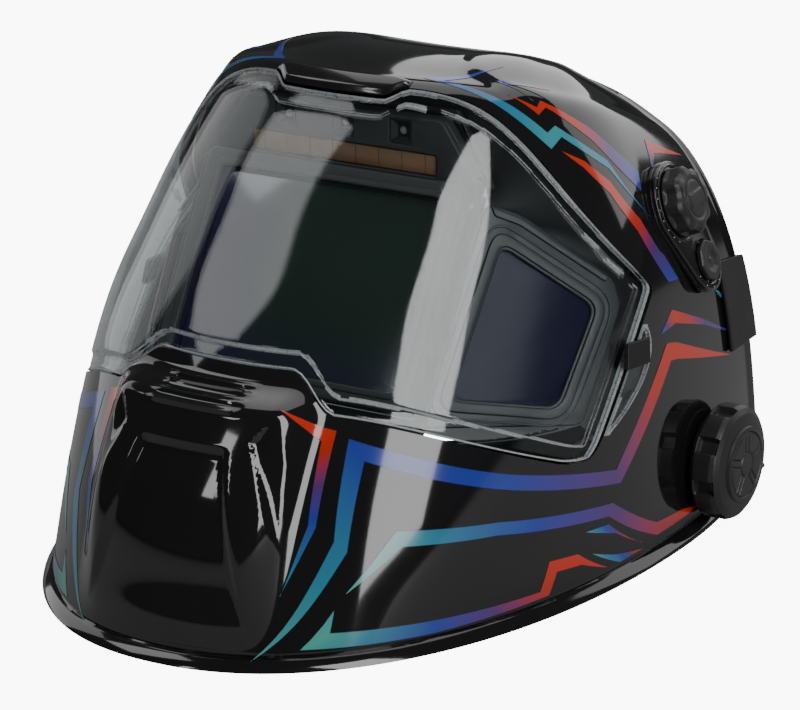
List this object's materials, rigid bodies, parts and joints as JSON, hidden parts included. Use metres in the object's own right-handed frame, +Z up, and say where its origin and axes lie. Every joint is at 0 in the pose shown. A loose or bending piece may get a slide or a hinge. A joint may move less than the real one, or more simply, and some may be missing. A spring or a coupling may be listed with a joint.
{
  "type": "welding helmet",
  "caption": "Auto-darkening welding helmet with a wrap-around clear cover lens, side windows, external control knob and a ratchet headgear on friction pivots.",
  "frame": {"origin": "middle of the bounding box in X and Y, at the flat edge of the rim that the helmet stands on", "axes": "+X towards the wearer's left, +Y to the back of the head (the lens faces -Y), +Z up"},
  "size_m": [0.2836, 0.356, 0.2042],
  "materials": {
    "shell": "gloss",
    "gloss_black": "gloss",
    "clear_lens": "clear",
    "frame_black": "satin",
    "side_glass": "tinted",
    "cartridge_grey": "fine grain",
    "filter_glass": "mirror coat",
    "solar": "cells",
    "sensor": "clear",
    "circuit": "solder mask",
    "steel": "zinc plated",
    "knob_black": "satin",
    "nylon_black": "moulded",
    "cable": "satin",
    "fibre_red": "fibre",
    "pad": "brushed fabric over foam",
    "acetal": "natural"
  },
  "bodies": {
    "shell": {"shell": "shell", "brow_trim": "gloss_black", "cover_lens": "clear_lens", "inner_frame": "frame_black", "side_frame_left": "frame_black", "side_frame_right": "frame_black", "side_window_left": "side_glass", "side_window_right": "side_glass", "filter_housing": "cartridge_grey", "filter_glass": "filter_glass", "solar_strip": "solar", "light_sensors": "sensor", "filter_circuit": "circuit", "inner_cover_lens": "clear_lens", "filter_screws": "steel", "control_plate": "gloss_black", "control_box": "frame_black", "control_board": "circuit", "signal_cable": "cable", "edge_clip": "frame_black", "pivot_bushing_left": "nylon_black", "pivot_bushing_right": "nylon_black", "stop_plate_left": "nylon_black", "stop_plate_right": "nylon_black"},
    "latch_left": {"lens_latch_left": "gloss_black"},
    "latch_right": {"lens_latch_right": "gloss_black"},
    "mode_knob": {"mode_knob": "knob_black"},
    "save_button": {"save_button": "knob_black"},
    "battery_drawer": {"battery_drawer": "frame_black", "coin_cell": "steel"},
    "arms": {"side_arm_left": "nylon_black", "side_arm_right": "nylon_black", "pivot_screw_left": "steel", "pivot_screw_right": "steel", "friction_washer_left": "fibre_red", "friction_washer_right": "fibre_red"},
    "tension_knob_left": {"tension_knob_left": "knob_black"},
    "tension_knob_right": {"tension_knob_right": "knob_black"},
    "headband": {"headband_front": "nylon_black", "sweatband": "pad", "reach_buttons": "nylon_black"},
    "crown_strap": {"crown_strap": "nylon_black"},
    "rear_band": {"headband_rear": "nylon_black", "ratchet_housing": "nylon_black", "rear_pad": "pad"},
    "ratchet_knob": {"ratchet_knob": "knob_black", "ratchet_pinion": "acetal"}
  },
  "joints": [
    {"name": "headgear_swing", "type": "hinge", "parent": "shell", "child": "arms", "pos_m": [0, 0.06145, 0.03], "axis": [1, 0, 0], "range_deg": [-10, 75]},
    {"name": "reach_slide", "type": "slide", "parent": "arms", "child": "headband", "axis": [0, 1, 0], "range_m": [-0.008, 0.008]},
    {"name": "crown_slide", "type": "slide", "parent": "headband", "child": "crown_strap", "axis": [0, 0, 1], "range_m": [-0.012, 0.012]},
    {"name": "rear_band_slide", "type": "slide", "parent": "headband", "child": "rear_band", "axis": [0, 1, 0], "range_m": [-0.018, 0.008]},
    {"name": "ratchet_turn", "type": "hinge", "parent": "rear_band", "child": "ratchet_knob", "pos_m": [0, 0.16345, 0.03], "axis": [0, 1, 0], "range_deg": [-65, 145]},
    {"name": "tension_knob_left_turn", "type": "hinge", "parent": "arms", "child": "tension_knob_left", "pos_m": [0.134, 0.06145, 0.03], "axis": [1, 0, 0], "continuous": true},
    {"name": "tension_knob_right_turn", "type": "hinge", "parent": "arms", "child": "tension_knob_right", "pos_m": [-0.134, 0.06145, 0.03], "axis": [-1, 0, 0], "continuous": true},
    {"name": "mode_knob_turn", "type": "hinge", "parent": "shell", "child": "mode_knob", "pos_m": [0.1063, 0.06045, 0.1394], "axis": [0.9361, 0.0819, 0.342], "range_deg": [-150, 150]},
    {"name": "save_button_press", "type": "slide", "parent": "shell", "child": "save_button", "axis": [-0.9361, -0.0819, -0.342], "range_m": [0, 0.0015], "stiffness_N_per_m": 400},
    {"name": "battery_drawer_slide", "type": "slide", "parent": "shell", "child": "battery_drawer", "axis": [-0.0872, 0.9962, 0], "range_m": [0, 0.026]},
    {"name": "lens_latch_left_slide", "type": "slide", "parent": "shell", "child": "latch_left", "axis": [0.0907, 0.9933, -0.072], "range_m": [0, 0.004]},
    {"name": "lens_latch_right_slide", "type": "slide", "parent": "shell", "child": "latch_right", "axis": [-0.0907, 0.9933, -0.072], "range_m": [0, 0.004]}
  ],
  "couplings": [
    {"joint": "ratchet_turn", "follows": "rear_band_slide", "rad_per_m": -133.33}
  ]
}
